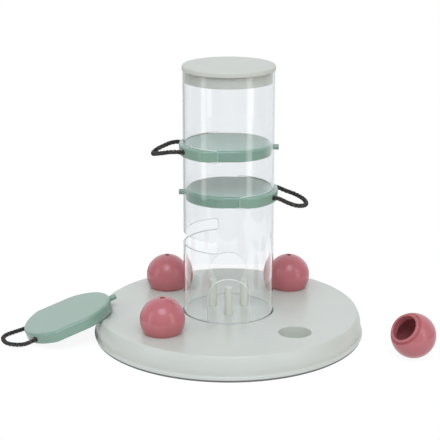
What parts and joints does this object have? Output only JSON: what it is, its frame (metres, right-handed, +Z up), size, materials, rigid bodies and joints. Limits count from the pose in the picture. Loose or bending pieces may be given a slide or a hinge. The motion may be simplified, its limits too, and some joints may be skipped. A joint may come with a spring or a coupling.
{
  "type": "cat puzzle tower",
  "caption": "Round base with a clear treat tube, pull-out shelves on cord loops, a push-in lid and hollow treat balls that seat neck-down in recesses.",
  "frame": {"origin": "on the floor under the middle of the base, in the plane of the non-slip ring's underside", "axes": "+Z up along the tube's axis; +X to the right seen from the arched front, which faces -Y; the shelves pull out along X"},
  "size_m": [0.3943, 0.25, 0.2535],
  "materials": {
    "base_plastic": "pale grey-green moulded polypropylene, fine satin",
    "foot_rubber": "matt grey non-slip rubber",
    "post_plastic": "pale sage moulded polypropylene, fine satin",
    "clear_plastic": "clear polished polystyrene",
    "lid_plastic": "pale grey-green moulded polypropylene, fine satin",
    "shelf_plastic": "sage green moulded polypropylene, satin",
    "cord_braid": "black braided polyester cord",
    "ball_plastic": "dusty rose moulded plastic, satin"
  },
  "bodies": {
    "base": {"base_shell": "base_plastic", "rubber_ring": "foot_rubber", "treat_posts": "post_plastic"},
    "tower": {"clear_tube": "clear_plastic"},
    "cover": {"lid": "lid_plastic"},
    "upper_shelf": {"shelf_upper": "shelf_plastic", "cord_upper": "cord_braid", "knots_upper": "cord_braid"},
    "middle_shelf": {"shelf_middle": "shelf_plastic", "cord_middle": "cord_braid", "knots_middle": "cord_braid"},
    "leaning_shelf": {"shelf_loose": "shelf_plastic", "cord_loose": "cord_braid", "knots_loose": "cord_braid"},
    "front_left_ball": {"ball_front_left": "ball_plastic", "collar_front_left": "ball_plastic"},
    "back_left_ball": {"ball_back_left": "ball_plastic", "collar_back_left": "ball_plastic"},
    "back_right_ball": {"ball_back_right": "ball_plastic", "collar_back_right": "ball_plastic"},
    "floor_ball": {"ball_loose": "ball_plastic", "collar_loose": "ball_plastic"}
  },
  "joints": [
    {"name": "tower_lift", "type": "slide", "parent": "base", "child": "tower", "axis": [0, 0, 1], "range_m": [0, 0.06]},
    {"name": "lid_lift", "type": "slide", "parent": "tower", "child": "cover", "axis": [0, 0, 1], "range_m": [0, 0.04]},
    {"name": "upper_shelf_pull", "type": "slide", "parent": "tower", "child": "upper_shelf", "axis": [-1, 0, 0], "range_m": [0, 0.095]},
    {"name": "middle_shelf_pull", "type": "slide", "parent": "tower", "child": "middle_shelf", "axis": [1, 0, 0], "range_m": [0, 0.095]},
    {"name": "leaning_shelf_lift", "type": "slide", "parent": "base", "child": "leaning_shelf", "axis": [0, 0, 1], "range_m": [0, 0.06]},
    {"name": "front_left_ball_lift", "type": "slide", "parent": "base", "child": "front_left_ball", "axis": [0, 0, 1], "range_m": [0, 0.04]},
    {"name": "back_left_ball_lift", "type": "slide", "parent": "base", "child": "back_left_ball", "axis": [0, 0, 1], "range_m": [0, 0.04]},
    {"name": "back_right_ball_lift", "type": "slide", "parent": "base", "child": "back_right_ball", "axis": [0, 0, 1], "range_m": [0, 0.04]},
    {"name": "floor_ball_lift", "type": "slide", "parent": "base", "child": "floor_ball", "axis": [0, 0, 1], "range_m": [0, 0.04]}
  ]
}
